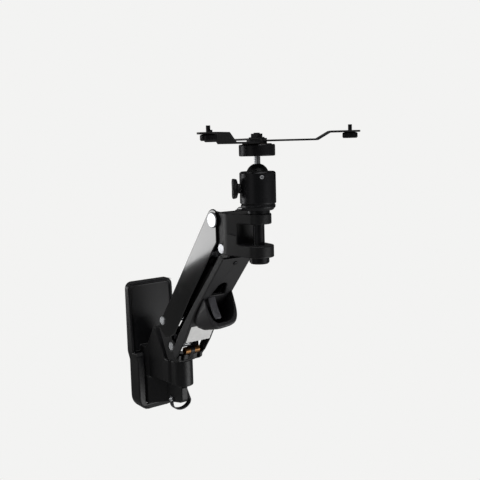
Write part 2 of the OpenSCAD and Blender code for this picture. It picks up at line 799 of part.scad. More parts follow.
module lower_link() {
    color(satin) link_frame(base_lower) difference() {
        linear_extrude(2 * rail_out, center = true) rail_outline();
        linear_extrude(2 * rail_in, center = true) {
            translate([-cut, -rail_down + shell_t]) square([link_l + 2 * cut, cut]);
            translate([-cut, -cut]) square([open_end + cut, 2 * cut]);
            translate([cover_end - 4, -cut]) square([cut, 2 * cut]);
        }
        for (s = [0, link_l]) translate([s, 0]) cylinder(d = pin_d + 2 * run_gap, h = arm_w, center = true);
        cover_screw_holes();
        cable_slot();
    }
}

// Holes of the screws that hold the cover to the lower link
module cover_screw_holes() {
    for (s = cover_screw_at) translate([s, -rail_down, 0]) rotate([90, 0, 0])
        cylinder(d = cover_screw_d, h = 2 * rail_down, center = true);
}

// Opening through the underside in front of the hood, narrow towards the head
module cable_slot() {
    translate([0, -rail_down, 0]) rotate([90, 0, 0]) linear_extrude(3 * shell_t, center = true) hull() {
        translate([hood_foot + slot_run - slot_r, 0]) circle(slot_r);
        translate([hood_foot - 1, -rail_in + 1]) square([1, 2 * rail_in - 2]);
    }
}
// Side outline of the lower cover in the lower link's plane
module lower_cover_outline(t) {
    polygon([
        [cover_end, -cover_edge - 1], [cover_end, -cover_under + t],
        [open_end + flare_run, -cover_under + t],
        [open_end, -cover_flare + t], [10, -cover_flare - 1 + t], [-1, -cover_flare + t],
        [2, -cover_edge - 6], [open_end, -cover_edge - 1.5], [open_end + 40, -cover_edge]
    ]);
}

module lower_cover() {
    color(black) link_frame(base_lower) difference() {
        linear_extrude(arm_w, center = true) lower_cover_outline(0);
        linear_extrude(2 * cheek_out + 2 * layer_gap, center = true) {
            lower_cover_outline(shell_t);
            translate([-cut, -cut]) square([open_end + cut, 2 * cut]);
            translate([-cut, -rail_down]) square([link_l + 2 * cut, cut]);
        }
        cover_screw_holes();
        cable_slot();
    }
}

module cover_screws() {
    r = cover_screw_d;
    grip = 2 * shell_t;
    color(steel) link_frame(base_lower) for (s = cover_screw_at)
        translate([s, -cover_under, 0]) rotate([90, 0, 0]) {
            rotate_extrude()
                polygon([[0, 0], [r * 0.93, 0], [r * 0.8, r / 3], [r * 0.53, r * 0.47], [0, r * 0.47]]);
            translate([0, 0, -grip]) cylinder(d = r - 2 * run_gap, h = grip + eps);
        }
}

// Slice of the hood square to the link, at s, reaching h below the lower pin line
module hood_slice(s, w, h, r) {
    for (side = [-1, 1]) {
        translate([s, r - h, side * (w / 2 - r)]) rotate([0, 90, 0]) cylinder(r = r, h = 0.5, $fn = 32);
        translate([s, -cover_under, side * (w / 2 - 1) - 1]) cube([0.5, 4, 2]);
    }
}

// Everything on the arm's side of the cover's underside
module above_underside() {
    linear_extrude(2 * arm_w, center = true) polygon([
        [-cut, cut], [-cut, -cover_flare], [open_end, -cover_flare], [open_end + flare_run, -cover_under],
        [link_l, -cover_under], [link_l, cut]
    ]);
}

module cable_hood() {
    foot = cover_under + hood_h;
    back = cover_under + hood_h * 0.66;
    inner = hood_w - 2 * hood_t;
    round_r = hood_w * 0.3;
    color(black) link_frame(base_lower) difference() {
        hull() {
            hood_slice(hood_foot, hood_w - 1, foot, round_r);
            hood_slice(hood_lip, hood_w - 1, foot, round_r);
            hood_slice(hood_tail + hood_l / 4, hood_w, back, round_r);
            hood_slice(hood_tail, hood_w - 6, cover_flare - 3, hood_t);
        }
        hull() {
            hood_slice(hood_foot + 1, inner - 1, foot - hood_t, round_r - hood_t);
            hood_slice(hood_lip, inner - 1, foot - hood_t, round_r - hood_t);
            hood_slice(hood_tail + hood_l / 4 + hood_t, inner, back - hood_t, round_r - hood_t);
            hood_slice(hood_tail + 3 * hood_t, inner - 8, cover_flare - 3, hood_t / 2);
        }
        above_underside();
        hood_mouth();
    }
}

// Everything beyond the plane of the hood's mouth, which leans back from its feet to its lip
module hood_mouth() {
    linear_extrude(2 * arm_w, center = true) polygon([
        [hood_foot, -cover_under + 1], [hood_lip, -cover_under - hood_h - 1], [link_l, -cover_under - hood_h - 1],
        [link_l, -cover_under + 1]
    ]);
}

module hood_tongue() {
    side = hood_w * 0.18;
    w = hood_w * 0.2;
    reach = 0.7;
    color(nylon) link_frame(base_lower) hull() {
        translate([hood_foot - 5, -cover_under - 1, side]) cube([2.5, 1 - eps, w]);
        translate([hood_foot - hood_lean * reach - 2.5, -cover_under - hood_h * reach, side]) cube([2, 1, w]);
    }
}

module blank_label() {
    slope = atan((cover_flare - cover_under) / flare_run);
    color("white") link_frame(base_lower) translate([open_end, -cover_flare, 0]) rotate([0, 0, slope])
        translate([1, -label_t, -arm_w / 2 + 3]) cube([label_l, label_t, arm_w - 6]);
}

// Plan outline of the head bracket, from the fork to the ears
module head_plan(d) {
    intersection() {
        hull() {
            translate([0, head_y]) circle(d = d);
            translate([0, head_back - arm_w / 8]) circle(d = arm_w);
        }
        translate([-arm_w, head_back - cut]) square([2 * arm_w, cut]);
    }
}

// Side outline of the head bracket's fork cheeks
module head_fork() {
    inside = head_back - cheek_r;
    polygon([
        head_upper + [0, cheek_r], head_upper + [-cheek_r - 8, cheek_r - 1], [inside, head_z - 1],
        [inside, ear_low_z + 1], head_lower + [-2, -cheek_r + 3.4], head_lower + [cheek_r - 1, 2],
        head_upper + [cheek_r - 0.4, -3]
    ]);
    translate(head_upper) circle(cheek_r);
    translate(head_lower) circle(cheek_r - 3.2);
}

module head_bracket() {
    rail_pocket = max(rail_end_r, rail_down) + 0.7;
    color(satin) difference() {
        union() {
            cheeks(cheek_in, cheek_out) head_fork();
            translate([0, 0, ear_low_z]) linear_extrude(head_h / 2) head_plan(ear_low_d);
            translate([0, 0, ear_low_z + head_h / 2 - eps]) linear_extrude(head_h / 2 + eps) head_plan(ear_up_d);
        }
        translate([0, head_y, gap_low]) linear_extrude(gap_up - gap_low)
            translate([-arm_w, -arm_w]) square([2 * arm_w, arm_w + ear_reach]);
        translate([0, head_y, ear_low_z - 1]) cylinder(d = post_d + 3 - 2 * run_gap, h = head_h + 2);
        cross_pin(head_upper, pin_d + 2 * run_gap, arm_w);
        cross_pin(head_lower, pin_d, arm_w);
        cross_pin(head_lower, 2 * rail_pocket, 2 * cheek_in);
        for (side = [-1, 1]) translate([side * (cheek_out + arm_w / 2), 0, 0])
            cross_pin(head_lower, head_cap_d + 1.4, arm_w);
    }
}

module head_lower_pin() {
    color(chrome) link_pin(head_lower, cheek_out, head_cap_d);
}

module post_bushes() {
    color(nylon) for (at = [[ear_low_z, ear_low_t], [gap_up, ear_up_t]])
        translate([0, head_y, at[0]]) difference() {
            cylinder(d = post_d + 3 - 2 * run_gap, h = at[1]);
            translate([0, 0, -1]) cylinder(d = post_d + 2 * run_gap, h = at[1] + 2);
        }
}

module swivel_post() {
    color(satin) translate([0, head_y, 0]) {
        translate([0, 0, ear_low_z - 1]) cylinder(d = post_d, h = housing_z + post_in - ear_low_z + 1);
        translate([0, 0, head_z + run_gap]) cylinder(d = ear_up_d - 3, h = housing_gap - run_gap);
    }
}

module post_cap() {
    color(satin) translate([0, head_y, ear_low_z - post_cap_h - run_gap]) difference() {
        rotate_extrude() polygon([
            [0, 0], [post_cap_d / 2 - 1.5, 0], [post_cap_d / 2, 1.5], [post_cap_d / 2, post_cap_h],
            [0, post_cap_h]
        ]);
        translate([0, 0, -1]) cylinder(d = 5 / cos(30), h = 4, $fn = 6);
        translate([0, 0, post_cap_h - 1]) cylinder(d = post_d, h = 2);
    }
}

module ball_housing() {
    r = housing_d / 2;
    socket = ball_r + ball_gap;
    color(satin) translate([0, head_y, 0]) difference() {
        translate([0, 0, housing_z]) rotate_extrude() polygon([
            [0, 0], [r - 3.5, 0], [r - 0.8, 3.2], [r - 0.8, 5.6], [r - 1.4, 6], [r - 1.4, 6.6], [r - 0.8, 7],
            [r, 7.6], [r, housing_h - 1.6], [r - 1.6, housing_h], [0, housing_h]
        ]);
        translate([0, 0, ball_z]) sphere(socket);
        translate([0, 0, bore_z]) cylinder(r = socket, h = ball_z - bore_z);
        translate([0, 0, housing_z - 1]) cylinder(d = post_d, h = post_in + 1);
        rotate([0, 0, notch_angle - 90]) translate([0, 0, ball_z - notch_w / 2]) notch();
        rotate([0, 0, 180 - knob_angle]) translate([0, 0, knob_z]) rotate([0, 90, 0])
            cylinder(d = 6 + 2 * run_gap, h = r + 1);
        rotate([0, 0, -set_screw_angle]) translate([socket + 1, 0, set_screw_z]) rotate([0, 90, 0])
            cylinder(d = set_screw_d, h = r);
    }
}

// Slot through one side of the housing, round at its foot
module notch() {
    rotate([0, 90, 0]) cylinder(d = notch_w, h = housing_d);
    translate([0, -notch_w / 2, 0]) cube([housing_d, notch_w, housing_h]);
}

module ball_seat() {
    socket = ball_r + ball_gap;
    color(nylon) translate([0, head_y, 0]) difference() {
        translate([0, 0, seat_z]) cylinder(r = socket - run_gap, h = seat_h);
        translate([0, 0, ball_z]) sphere(socket);
        translate([0, 0, seat_z - 1]) cylinder(d = 8, h = seat_h + 2);
    }
}

module set_screw() {
    depth = housing_d / 2 - ball_r - ball_gap - 1.5;
    socket = 1.5;
    color(chrome) translate([0, head_y, set_screw_z]) rotate([0, 0, -set_screw_angle])
        translate([ball_r + ball_gap + 1.1, 0, 0]) rotate([0, 90, 0]) difference() {
            cylinder(d = set_screw_d, h = depth);
            translate([0, 0, depth - socket]) cylinder(d = set_screw_d / 2 / cos(30), h = 2 * socket, $fn = 6);
        }
}

module lock_knob() {
    r = housing_d / 2;
    wing_r = 4;
    collar = 2.4;
    color(black) translate([0, head_y, knob_z]) rotate([0, 0, 180 - knob_angle]) rotate([0, 90, 0]) {
        translate([0, 0, ball_r + 2]) cylinder(d = 6, h = r - ball_r);
        translate([0, 0, r + 0.8]) cylinder(d = 10, h = collar);
        translate([0, 0, r + 0.8 + collar - eps]) hull() for (side = [-1, 1])
            translate([side * (knob_span / 2 - wing_r), 0, 0]) cylinder(r = wing_r, h = knob_wing_t, $fn = 32);
    }
}

module ball() {
    color(satin) translate([0, head_y, ball_z]) difference() {
        sphere(ball_r);
        translate([0, 0, ball_r - neck_in]) cylinder(d = neck_d, h = neck_in + 1);
    }
}

module ball_neck() {
    color(chrome) translate([0, head_y, ball_z + ball_r - neck_in])
        cylinder(d = neck_d, h = platform_z + 2 - ball_z - ball_r + neck_in);
}

module platform_disc() {
    r = platform_d / 2;
    edge = 0.8;
    color(satin) translate([0, head_y, platform_z]) difference() {
        rotate_extrude() polygon([
            [0, 0], [r - edge, 0], [r, edge], [r, platform_h - edge], [r - edge, platform_h], [0, platform_h]
        ]);
        translate([0, 0, -1]) cylinder(d = neck_d + 2 * run_gap, h = 3 + run_gap);
        translate([0, 0, 4]) cylinder(d = hub_stud_d, h = platform_h);
    }
}

module platform_pad() {
    color("#2a2522") translate([0, head_y, platform_z + platform_h]) difference() {
        cylinder(d = platform_d - 7, h = pad_t);
        translate([0, 0, -1]) cylinder(d = hub_stud_d, h = pad_t + 2);
    }
}

module hub_stud() {
    color(steel) translate([0, head_y, platform_z + 4])
        cylinder(d = hub_stud_d, h = hub_z - platform_z - 4 + 3 * arm_t + hub_nut_t + 1);
}

module hub_nut() {
    color(steel) translate([0, head_y, hub_z + 3 * arm_t + run_gap]) difference() {
        union() {
            cylinder(d = hub_nut_af + 5, h = 1);
            translate([0, 0, 1]) hexagon(hub_nut_af, hub_nut_t - 1);
        }
        translate([0, 0, -1]) cylinder(d = hub_stud_d, h = hub_nut_t + 2);
    }
}

// Side outline of a sheet arm, from the hub outwards, starting at height z0
module strip_side(z0) {
    kink_out = kink_in + kink_run;
    tip = screw_r + strip_w / 2;
    polygon([
        [-strip_w / 2, z0], [kink_in, z0], [kink_out, flat_rise], [tip, flat_rise],
        [tip, flat_rise + arm_t], [kink_out - 0.6, flat_rise + arm_t], [kink_in - 0.6, z0 + arm_t],
        [-strip_w / 2, z0 + arm_t]
    ]);
}

// Sheet arm with round ends, in layer k of the hub's stack, pointing at an angle
module sheet_arm(k, angle) {
    w = strip_w;
    translate([0, head_y, hub_z]) rotate([0, 0, angle]) difference() {
        intersection() {
            rotate([90, 0, 0]) linear_extrude(w, center = true) strip_side(k * arm_t);
            union() {
                translate([0, -w / 2, -1]) cube([screw_r, w, flat_rise + arm_t + 2]);
                for (x = [0, screw_r]) translate([x, 0, -1]) cylinder(d = w, h = flat_rise + arm_t + 2);
            }
        }
        translate([0, 0, -1]) cylinder(d = hub_stud_d + 2 * run_gap, h = flat_rise);
        translate([screw_r, 0, 0]) cylinder(d = shoulder_d + 2 * run_gap, h = 2 * flat_rise);
    }
}

module thumb_screw(angle) {
    z = flat_z - thumb_h - run_gap;
    translate([0, head_y, z]) rotate([0, 0, angle]) translate([screw_r, 0, 0]) {
        difference() {
            rotate_extrude() polygon([
                [0, 0], [thumb_d / 2 - 1, 0], [thumb_d / 2, 1], [thumb_d / 2, thumb_h - 1.2],
                [thumb_d / 2 - 0.8, thumb_h - 0.4], [thumb_d / 2 - 3, thumb_h], [0, thumb_h]
            ]);
            for (i = [0:grips - 1]) rotate([0, 0, i * 360 / grips])
                translate([thumb_d / 2 + 0.35, 0, -1]) cylinder(d = 1.4, h = thumb_h + 2, $fn = 16);
        }
        cylinder(d = shoulder_d, h = thumb_h + run_gap + arm_t);
        cylinder(d = stud_d, h = thumb_h + run_gap + arm_t + stud_rise);
    }
}

module near_arm() { color(satin) sheet_arm(0, arm_angles[0]); }
module right_arm() { color(satin) sheet_arm(1, arm_angles[1]); }
module back_arm() { color(satin) sheet_arm(2, arm_angles[2]); }
module near_thumb_screw() { color(satin) thumb_screw(arm_angles[0]); }
module right_thumb_screw() { color(satin) thumb_screw(arm_angles[1]); }
module back_thumb_screw() { color(satin) thumb_screw(arm_angles[2]); }

wall_plate();
wall_cover();
swivel_bracket();
bracket_bolts();
upper_bush();
lower_bush();
cable_strap();
strap_screw();
base_yoke();
swivel_shaft();
swivel_washer();
swivel_nut();
base_upper_pin();
base_lower_pin();
trunnion_pin();
adjuster_screw();
upper_link();
gas_cylinder();
gas_pin();
head_upper_pin();
gas_rod();
lower_link();
lower_cover();
cover_screws();
cable_hood();
hood_tongue();
blank_label();
head_bracket();
head_lower_pin();
post_bushes();
swivel_post();
post_cap();
ball_housing();
ball_seat();
set_screw();
lock_knob();
ball();
ball_neck();
platform_disc();
platform_pad();
hub_stud();
hub_nut();
near_arm();
right_arm();
back_arm();
near_thumb_screw();
right_thumb_screw();
back_thumb_screw();
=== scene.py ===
"""Wall mount with a spring arm, a ball head and a three-arm adapter.

Finishes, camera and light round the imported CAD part. Sizes are in mm, and MM turns them to metres.
"""

import json
import math

import bmesh
import bpy
from mathutils import Matrix, Vector


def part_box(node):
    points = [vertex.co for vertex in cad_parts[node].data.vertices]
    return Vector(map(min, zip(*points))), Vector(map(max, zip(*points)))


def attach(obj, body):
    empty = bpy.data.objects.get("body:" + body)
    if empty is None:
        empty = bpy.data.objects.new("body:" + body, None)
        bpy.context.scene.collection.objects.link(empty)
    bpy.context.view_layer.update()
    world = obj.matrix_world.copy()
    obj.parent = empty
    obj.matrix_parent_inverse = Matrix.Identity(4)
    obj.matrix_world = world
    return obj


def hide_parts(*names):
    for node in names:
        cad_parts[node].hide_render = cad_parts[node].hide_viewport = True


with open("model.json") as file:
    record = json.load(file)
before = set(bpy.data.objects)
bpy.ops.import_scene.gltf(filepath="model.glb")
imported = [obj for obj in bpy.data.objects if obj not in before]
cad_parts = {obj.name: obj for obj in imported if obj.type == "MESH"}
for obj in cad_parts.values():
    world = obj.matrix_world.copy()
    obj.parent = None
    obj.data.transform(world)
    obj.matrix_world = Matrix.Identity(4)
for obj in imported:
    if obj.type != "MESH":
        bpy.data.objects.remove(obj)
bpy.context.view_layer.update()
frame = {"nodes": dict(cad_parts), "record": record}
NODES = frame["nodes"]
JOINTS = {joint["name"]: joint for joint in frame["record"]["behaviour"]["joints"]}
MM = 0.001
ARC_STEPS = 48  # steps round a turned or arched shape


# ---------------------------------------------------------------- colours and nodes

def srgb(code):
    """Linear colour of an sRGB hex value."""
    parts = [int(code[i:i + 2], 16) / 255 for i in (1, 3, 5)]
    return [p / 12.92 if p <= 0.04045 else ((p + 0.055) / 1.055) ** 2.4 for p in parts] + [1.0]


def put(tree, kind, values=None, links=None, **settings):
    """Adds a node: its settings, its sockets' fixed values and the outputs that feed its sockets."""
    node = tree.nodes.new(kind)
    for name, value in settings.items():
        setattr(node, name, value)
    for socket, value in (values or {}).items():
        node.inputs[socket].default_value = value
    for socket, output in (links or {}).items():
        tree.links.new(output, node.inputs[socket])
    return node


# ---------------------------------------------------------------- camera and light

CAMERA_PLACE = (-458.4, -836.9, 254.8)
CAMERA_AZIMUTH, CAMERA_DOWN, CAMERA_ROLL = -36.28, 7.36, -1.5  # degrees
FOCAL_LENGTH, SENSOR_WIDTH = 54.2, 36.0

PAPER_TONE = "#f3f3f2"
FLOOR_TONE = "#dcdcdb"
FLOOR_SIZE, FLOOR_HEIGHT = 40, -1.0  # metres
ROOM_STRENGTH = 0.1  # light from all round, which only fills the shadows

# The first box is narrow and stands behind the plane of the wall. The arm's gloss side mirrors it,
# and its edge is the diagonal where that side turns from grey to black.
SOFTBOXES = (
    # name, place, target, (width, height) in metres, power in watts, roll in degrees
    ("wall_side_box", (-540, 600, 130), (-20, -170, 140), (0.5, 0.22), 1.5, 30),
    ("top_box", (-200, -400, 1300), (0, -150, 100), (1.2, 1.2), 14.0, 0),
    ("left_box", (-1500, -500, 500), (0, -150, 100), (0.8, 1.4), 1.8, 0),
    ("front_low_box", (700, -1300, -600), (0, -150, 60), (1.2, 0.8), 12.0, 0),
)


def aim(obj, place, azimuth, down, roll):
    """Stands obj at place with its -Z axis along azimuth, tilted down and rolled, in degrees."""
    a, p, r = (math.radians(v) for v in (azimuth, down, roll))
    forward = Vector((-math.sin(a) * math.cos(p), math.cos(a) * math.cos(p), -math.sin(p)))
    right = Vector((math.cos(a), math.sin(a), 0.0))
    up = right.cross(forward)
    across = right * math.cos(r) + up * math.sin(r)
    upright = -right * math.sin(r) + up * math.cos(r)
    turn = Matrix((across, upright, -forward)).transposed()
    obj.matrix_world = Matrix.Translation(Vector(place) * MM) @ turn.to_4x4()


def add_camera():
    """The camera stands about a metre away, a little left of the arm and almost level with it."""
    lens = bpy.data.cameras.new("camera")
    lens.sensor_width = SENSOR_WIDTH
    lens.lens = FOCAL_LENGTH
    lens.clip_start, lens.clip_end = 0.05, 60.0
    camera = bpy.data.objects.new("camera", lens)
    bpy.context.scene.collection.objects.link(camera)
    aim(camera, CAMERA_PLACE, CAMERA_AZIMUTH, CAMERA_DOWN, CAMERA_ROLL)
    bpy.context.scene.camera = camera


def add_softbox(name, place, target, size, power, roll):
    """Soft light aimed from place at target and rolled about that line."""
    light = bpy.data.lights.new(name, "AREA")
    light.shape = "RECTANGLE"
    light.size, light.size_y = size
    light.energy = power
    lamp = bpy.data.objects.new(name, light)
    bpy.context.scene.collection.objects.link(lamp)
    back = (Vector(place) - Vector(target)).normalized()
    facing = back.to_track_quat("Z", "Y").to_matrix().to_4x4()
    rolled = Matrix.Rotation(math.radians(roll), 4, "Z")
    lamp.matrix_world = Matrix.Translation(Vector(place) * MM) @ facing @ rolled
    lamp.visible_camera = False


def add_studio():
    """Bright paper behind the object, faint light from all round, and the softboxes."""
    world = bpy.data.worlds.new("studio")
    bpy.context.scene.world = world
    world.use_nodes = True
    tree = world.node_tree
    tree.nodes.clear()
    paper = put(tree, "ShaderNodeBackground", {"Color": srgb(PAPER_TONE), "Strength": 1.0})
    room = put(tree, "ShaderNodeBackground", {"Color": srgb(PAPER_TONE), "Strength": ROOM_STRENGTH})
    rays = put(tree, "ShaderNodeLightPath")
    seen = put(tree, "ShaderNodeMixShader", links={
        0: rays.outputs["Is Camera Ray"], 1: room.outputs[0], 2: paper.outputs[0]})
    put(tree, "ShaderNodeOutputWorld", links={"Surface": seen.outputs[0]})
    for box in SOFTBOXES:
        add_softbox(*box)
    bpy.context.scene.view_settings.view_transform = "Standard"


def add_floor():
    """Pale paper well below the mount, which the camera sees in the tone of the background."""
    bpy.ops.mesh.primitive_plane_add(size=FLOOR_SIZE, location=(0, 0, FLOOR_HEIGHT))
    floor = bpy.context.object
    floor.name = "floor"
    paper = bpy.data.materials.new("pale_paper")
    paper.use_nodes = True
    tree = paper.node_tree
    tree.nodes.clear()
    lit = put(tree, "ShaderNodeBsdfDiffuse", {"Color": srgb(FLOOR_TONE)})
    shown = put(tree, "ShaderNodeEmission", {"Color": srgb(PAPER_TONE)})
    rays = put(tree, "ShaderNodeLightPath")
    mixed = put(tree, "ShaderNodeMixShader", links={
        0: rays.outputs["Is Camera Ray"], 1: lit.outputs[0], 2: shown.outputs[0]})
    put(tree, "ShaderNodeOutputMaterial", links={"Surface": mixed.outputs[0]})
    floor.data.materials.append(paper)


# ---------------------------------------------------------------- finishes

GRAIN_LOW, GRAIN_HIGH = 0.3, 0.7  # the part of the noise's range that the two tones share out


def finish_of(name, tones, grain_mm, roughness, spread, pit_mm=None, depth_mm=0.0,
              stretch=(1, 1, 1), sockets=None):
    """A procedural finish: two tones mixed by a grain, roughness that varies, and shallow pits.

    The grain and pits of a real coat or moulding can be far finer than a millimetre. Those are drawn
    1 to 3 mm wide, as coarse as they need to be to show at the camera's distance.
    """
    made = bpy.data.materials.new(name)
    made.use_nodes = True
    tree = made.node_tree
    tree.nodes.clear()
    place = put(tree, "ShaderNodeTexCoord")
    laid = put(tree, "ShaderNodeMapping", {"Scale": stretch}, {"Vector": place.outputs["Object"]})
    grain = put(tree, "ShaderNodeTexNoise",
                {"Scale": 1 / (grain_mm * MM), "Detail": 3.0, "Roughness": 0.6},
                {"Vector": laid.outputs[0]})
    tone = put(tree, "ShaderNodeValToRGB", links={"Fac": grain.outputs["Fac"]})
    for stop, at, code in zip(tone.color_ramp.elements, (GRAIN_LOW, GRAIN_HIGH), tones):
        stop.position, stop.color = at, srgb(code)
    wear = put(tree, "ShaderNodeMapRange",
               {"From Min": GRAIN_LOW, "From Max": GRAIN_HIGH,
                "To Min": roughness - spread, "To Max": roughness + spread},
               {"Value": grain.outputs["Fac"]})
    body = put(tree, "ShaderNodeBsdfPrincipled", sockets,
               {"Base Color": tone.outputs["Color"], "Roughness": wear.outputs["Result"]})
    if depth_mm:
        pits = put(tree, "ShaderNodeTexNoise", {"Scale": 1 / (pit_mm * MM), "Detail": 2.0},
                   {"Vector": laid.outputs[0]})
        relief = put(tree, "ShaderNodeBump", {"Strength": 1.0, "Distance": depth_mm * MM},
                     {"Height": pits.outputs["Fac"]})
        tree.links.new(relief.outputs["Normal"], body.inputs["Normal"])
    put(tree, "ShaderNodeOutputMaterial", links={"Surface": body.outputs[0]})
    return made


FLAT_ANGLE = 0.5  # degrees: faces that lie flatter than this to each other are one face
SHARP_ANGLE = 35  # degrees: edges sharper than this are rounded


def soften(node, width_mm):
    """Rounds a CAD node's edges as on castings, mouldings and turned parts, by modifiers alone."""
    obj = NODES[node]
    weld = obj.modifiers.new("weld", "WELD")
    weld.merge_threshold = 0.01 * MM
    # The wall cover keeps all its faces, because merged ones shade unevenly round its recess.
    if node != "wall_cover":
        flat = obj.modifiers.new("flat_faces", "DECIMATE")
        flat.decimate_type = "DISSOLVE"
        flat.angle_limit = math.radians(FLAT_ANGLE)
    edge = obj.modifiers.new("round_edges", "BEVEL")
    edge.width = width_mm * MM
    edge.segments = 3
    edge.limit_method = "ANGLE"
    edge.angle_limit = math.radians(SHARP_ANGLE)
    edge.use_clamp_overlap = False
    edge.miter_outer = "MITER_ARC"
    shade = obj.modifiers.new("shade", "WEIGHTED_NORMAL")
    shade.weight = 100
    shade.keep_sharp = True


# ---------------------------------------------------------------- moulded and turned pieces

LIFT = math.radians(48.7)  # the arm's rise in the photograph
LOWER_PIN = [c / MM for c in JOINTS["lower_link_pivot"]["pos_m"]]


def under_arm(x, s, n):
    """Point in metres: x across the arm, s along the lower link from its pin, n below that line."""
    y = LOWER_PIN[1] - s * math.cos(LIFT) - n * math.sin(LIFT)
    z = LOWER_PIN[2] + s * math.sin(LIFT) - n * math.cos(LIFT)
    return x * MM, y * MM, z * MM


def add_piece(name, mesh_parts, finish, body, node):
    """Makes a smooth mesh object that rides on a body in place of its CAD node."""
    verts, faces = mesh_parts
    mesh = bpy.data.meshes.new(name)
    mesh.from_pydata(verts, [], faces)
    mesh.validate()
    made = bmesh.new()
    made.from_mesh(mesh)
    bmesh.ops.remove_doubles(made, verts=made.verts, dist=1e-6)
    bmesh.ops.recalc_face_normals(made, faces=made.faces)
    made.to_mesh(mesh)
    made.free()
    for face in mesh.polygons:
        face.use_smooth = True
    piece = bpy.data.objects.new(name, mesh)
    bpy.context.scene.collection.objects.link(piece)
    mesh.materials.append(finish)
    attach(piece, body)
    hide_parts(node)


def skin(rings):
    """Quads between equal closed rings of points, and a cap on the first and last ring."""
    count = len(rings[0])
    verts = [p for ring in rings for p in ring]
    faces = []
    for k in range(len(rings) - 1):
        for i in range(count):
            j = (i + 1) % count
            faces.append((k * count + i, k * count + j, (k + 1) * count + j, (k + 1) * count + i))
    faces.append(tuple(range(count))[::-1])
    faces.append(tuple((len(rings) - 1) * count + i for i in range(count)))
    return verts, faces


def strip_solid(outer, inner):
    """Closed shell between an outer and an inner sheet of the same rows, open nowhere."""
    rows, count = len(outer), len(outer[0])
    verts = [p for row in outer for p in row] + [p for row in inner for p in row]
    below = rows * count
    faces = []
    for k in range(rows - 1):
        for i in range(count - 1):
            a, b = k * count + i, k * count + i + 1
            c, d = b + count, a + count
            faces += [(a, b, c, d), (below + d, below + c, below + b, below + a)]
    for k in range(rows - 1):
        for i in (0, count - 1):
            a, b = k * count + i, (k + 1) * count + i
            faces.append((a, b, below + b, below + a))
    for i in range(count - 1):
        for k in (0, rows - 1):
            a, b = k * count + i, k * count + i + 1
            faces.append((a, b, below + b, below + a))
    return verts, faces


def strip_section(corner, edge):
    """Section of a flat strip, -1 to 1 both ways, its corners cut from corner across to edge up."""
    return ((-1, -edge), (-corner, -1), (corner, -1), (1, -edge),
            (1, edge), (corner, 1), (-corner, 1), (-1, edge))


UNDERSIDE = 11            # the link's underside below the line through its pins
HOOD_SKEW = 0.2           # how far the mouth turns, as a share of the way across
HOOD_SKEW_DEPTH = 30      # rows shallower than this turn less
HOOD_FOOT_SLOPE = 0.15    # behind the slope's end the feet stand lower
HOOD_SLOPE_END = 80
HOOD_DEPTH = 34           # where a row has its whole lean

# Rows from the hood's back to its mouth: foot along the link, lean, depth, half width, and the
# powers that square the arch across and down. The last three rows round the lip.
HOOD_OUTSIDE = (
    (62, 0, 4.6, 12.5, 0.8, 0.8),
    (63, 0, 9.5, 14.3, 0.7, 0.7),
    (65.5, 0, 14.8, 15.6, 0.6, 0.6),
    (70, 0.4, 19.4, 16.5, 0.56, 0.56),
    (78, 2, 24, 17, 0.54, 0.54),
    (88, 6, 28.4, 17.4, 0.52, 0.52),
    (98, 11, 31.8, 17.8, 0.5, 0.5),
    (105, 14.6, 33.6, 18.2, 0.5, 0.48),
    (107.6, 15.4, 34, 18.4, 0.5, 0.46),
    (108.8, 15.4, 33.7, 18.3, 0.5, 0.48),
    (109.3, 15.4, 32.8, 18, 0.5, 0.52),
)
HOOD_INSIDE = (
    (64.5, 0, 3.4, 10, 0.8, 0.8),
    (66, 0, 7, 11.6, 0.75, 0.75),
    (68, 0, 11.6, 13, 0.7, 0.7),
    (72, 0.4, 16.4, 14.2, 0.66, 0.7),
    (79, 2, 21, 15, 0.6, 0.76),
    (88, 6, 25, 15.6, 0.56, 0.84),
    (97, 11, 27.4, 16.2, 0.52, 0.9),
    (104, 14.6, 28.2, 16.6, 0.5, 0.95),
    (107.6, 15.4, 28.6, 16.8, 0.5, 0.95),
    (108.8, 15.4, 29.2, 17, 0.5, 0.92),
    (109.3, 15.4, 30.4, 17.3, 0.5, 0.85),
)


def hood_row(foot, lean, depth, half, across_power, down_power):
    """One arch of the hood, from foot to foot."""
    skew = HOOD_SKEW * min(1.0, depth / HOOD_SKEW_DEPTH)
    points = []
    for i in range(ARC_STEPS + 1):
        turn = math.pi * i / ARC_STEPS
        across = math.copysign(abs(math.cos(turn)) ** across_power, math.cos(turn)) * half
        drop = depth * math.sin(turn) ** down_power
        s = foot + skew * across - lean * drop / HOOD_DEPTH
        foot_drop = HOOD_FOOT_SLOPE * (HOOD_SLOPE_END - s)
        points.append(under_arm(across, s, UNDERSIDE + max(drop, foot_drop, 0.0)))
    return points


def add_cable_hood():
    """Moulded hood under the arm: boxy outside, rounder inside, its thick lip leaning back."""
    outer = [hood_row(*row) for row in HOOD_OUTSIDE]
    inner = [hood_row(*row) for row in HOOD_INSIDE]
    add_piece("cable_hood_shell", strip_solid(outer, inner), hood_abs,
              "lower_link", "cable_hood")


def add_hood_tongue():
    """Flat nylon tongue that hangs in the hood's mouth, with rounded edges and a blunt tip."""
    steps = 20
    root, set_back, bow = 106, 8.5, 1.2  # along the link: where it starts, its slant and its bow
    clear, hang = 0.05, 24.5             # below the link: the gap at its root, and its length
    middle, half_width, half_thick = -7.6, 4.6, 1.0
    tip, widening = 0.8, 2               # the tip's share of the width, and its growth from there
    rings = []
    for k in range(steps + 1):
        f = k / steps
        s = root - set_back * f - bow * math.sin(math.pi * f)
        n = UNDERSIDE + clear + hang * f
        half = half_width * min(1.0, tip + widening * (1 - f))
        rings.append([under_arm(middle + half * across, s + half_thick * thick, n)
                      for across, thick in strip_section(corner=0.84, edge=0.4)])
    add_piece("hood_tongue_strip", skin(rings), grey_nylon, "lower_link", "hood_tongue")


